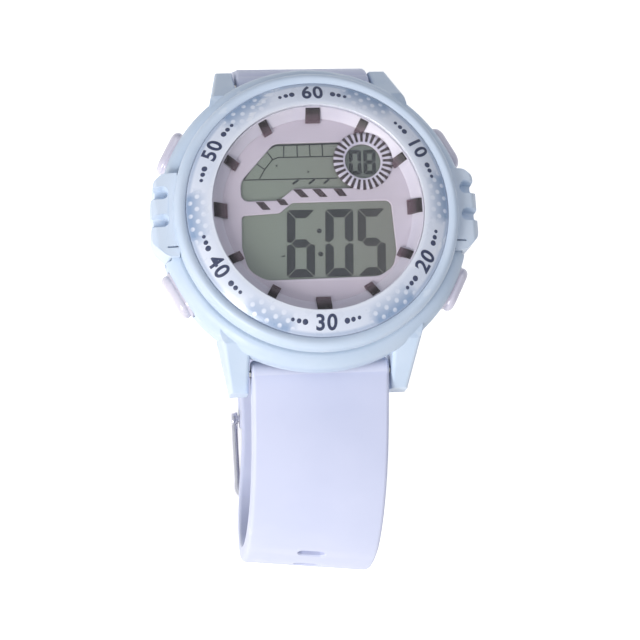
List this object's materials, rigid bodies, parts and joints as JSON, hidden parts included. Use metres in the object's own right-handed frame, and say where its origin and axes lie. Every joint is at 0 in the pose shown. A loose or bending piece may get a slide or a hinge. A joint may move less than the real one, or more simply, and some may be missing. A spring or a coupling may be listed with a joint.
{
  "type": "digital wrist watch",
  "caption": "Round digital wrist watch with a liquid crystal display, side push buttons and a curled rubber strap with a pin buckle.",
  "frame": {"origin": "centre of the case back's outer face", "axes": "+Z out of the dial, +Y to 12 o'clock, +X to 3 o'clock; the strap hangs below the case and the watch stands on the strap's flat end"},
  "size_m": [0.0474, 0.0763, 0.0602],
  "materials": {
    "case_resin": "satin moulded, pale icy blue",
    "bezel_resin": "satin moulded, pale icy blue",
    "printed_ring": "glossy, printed with grey-blue dot shading",
    "crystal": "clear polished",
    "seal_rubber": "soft black",
    "flange_plastic": "pale lavender, satin",
    "marker_plastic": "dark brown, bevelled blocks",
    "dial_plastic": "pale lavender print",
    "lcd_glass": "grey-green reflective display",
    "clear_plastic": "clear moulded",
    "lamp": "small moulded lamp",
    "module_plastic": "plain moulded",
    "board": "green solder resist",
    "chip_resin": "black resin drop",
    "plated_steel": "plain plated",
    "contact_brass": "stamped sheet",
    "ceramic": "silvered ceramic",
    "back_steel": "circular brushed",
    "strap_rubber": "very pale blue-lavender, satin",
    "polished_steel": "polished",
    "button_plastic": "glossy, white with a pink tint"
  },
  "bodies": {
    "head": {"case_middle": "case_resin", "bezel_cap": "bezel_resin", "printed_ring": "printed_ring", "crystal": "crystal", "crystal_gasket": "seal_rubber", "dial_flange": "flange_plastic", "hour_markers": "marker_plastic", "dial_plate": "dial_plastic", "seconds_ring": "flange_plastic", "lcd_cell": "lcd_glass", "light_guide": "clear_plastic", "backlight_lamp": "lamp", "contact_strips": "seal_rubber", "module_frame": "module_plastic", "circuit_board": "board", "control_chip": "chip_resin", "quartz_can": "plated_steel", "button_contacts": "contact_brass", "battery_holder": "module_plastic", "battery_cell": "plated_steel", "battery_contact": "contact_brass", "battery_clip": "plated_steel", "clip_screws": "plated_steel", "module_screws": "plated_steel", "case_back": "back_steel", "case_back_screws": "plated_steel", "back_gasket": "seal_rubber", "buzzer_plate": "contact_brass", "buzzer_ceramic": "ceramic", "buzzer_pin": "contact_brass", "spring_bar_tubes": "plated_steel", "spring_bar_tips": "plated_steel", "button_spring_two_oclock": "plated_steel", "button_spring_four_oclock": "plated_steel", "button_spring_eight_oclock": "plated_steel", "button_spring_ten_oclock": "plated_steel"},
    "long_strap": {"strap_long": "strap_rubber"},
    "short_strap": {"strap_short": "strap_rubber", "buckle_bar": "plated_steel"},
    "keeper": {"strap_keeper": "strap_rubber"},
    "buckle": {"buckle_frame": "polished_steel"},
    "tongue": {"buckle_tongue": "polished_steel"},
    "button_body_two_oclock": {"button_two_oclock": "button_plastic", "button_seal_two_oclock": "seal_rubber", "button_clip_two_oclock": "plated_steel"},
    "button_body_four_oclock": {"button_four_oclock": "button_plastic", "button_seal_four_oclock": "seal_rubber", "button_clip_four_oclock": "plated_steel"},
    "button_body_eight_oclock": {"button_eight_oclock": "button_plastic", "button_seal_eight_oclock": "seal_rubber", "button_clip_eight_oclock": "plated_steel"},
    "button_body_ten_oclock": {"button_ten_oclock": "button_plastic", "button_seal_ten_oclock": "seal_rubber", "button_clip_ten_oclock": "plated_steel"}
  },
  "joints": [
    {"name": "short_strap_hinge", "type": "hinge", "parent": "head", "child": "short_strap", "pos_m": [0, 0.0219, 0.0024], "axis": [1, 0, 0], "range_deg": [0, 60]},
    {"name": "long_strap_hinge", "type": "hinge", "parent": "head", "child": "long_strap", "pos_m": [0, -0.0219, 0.0024], "axis": [1, 0, 0], "range_deg": [-42, 0]},
    {"name": "buckle_hinge", "type": "hinge", "parent": "short_strap", "child": "buckle", "pos_m": [0, -0.02, -0.04523], "axis": [1, 0, 0], "range_deg": [0, 75]},
    {"name": "tongue_hinge", "type": "hinge", "parent": "buckle", "child": "tongue", "pos_m": [0, -0.02, -0.04523], "axis": [1, 0, 0], "range_deg": [0, 60]},
    {"name": "keeper_slide", "type": "slide", "parent": "short_strap", "child": "keeper", "axis": [0, -0.5736, -0.8192], "range_m": [-0.004, 0.004]},
    {"name": "press_two_oclock", "type": "slide", "parent": "head", "child": "button_body_two_oclock", "axis": [-0.8829, -0.4695, 0], "range_m": [0, 0.0008], "stiffness_N_per_m": 800, "springref_m": -0.0006, "deforming": ["button_spring_two_oclock"]},
    {"name": "press_four_oclock", "type": "slide", "parent": "head", "child": "button_body_four_oclock", "axis": [-0.8829, 0.4695, 0], "range_m": [0, 0.0008], "stiffness_N_per_m": 800, "springref_m": -0.0006, "deforming": ["button_spring_four_oclock"]},
    {"name": "press_eight_oclock", "type": "slide", "parent": "head", "child": "button_body_eight_oclock", "axis": [0.8829, 0.4695, 0], "range_m": [0, 0.0008], "stiffness_N_per_m": 800, "springref_m": -0.0006, "deforming": ["button_spring_eight_oclock"]},
    {"name": "press_ten_oclock", "type": "slide", "parent": "head", "child": "button_body_ten_oclock", "axis": [0.8829, -0.4695, 0], "range_m": [0, 0.0008], "stiffness_N_per_m": 800, "springref_m": -0.0006, "deforming": ["button_spring_ten_oclock"]}
  ],
  "couplings": [
    {"joint": "long_strap_hinge", "follows": "short_strap_hinge", "ratio": -0.7}
  ]
}
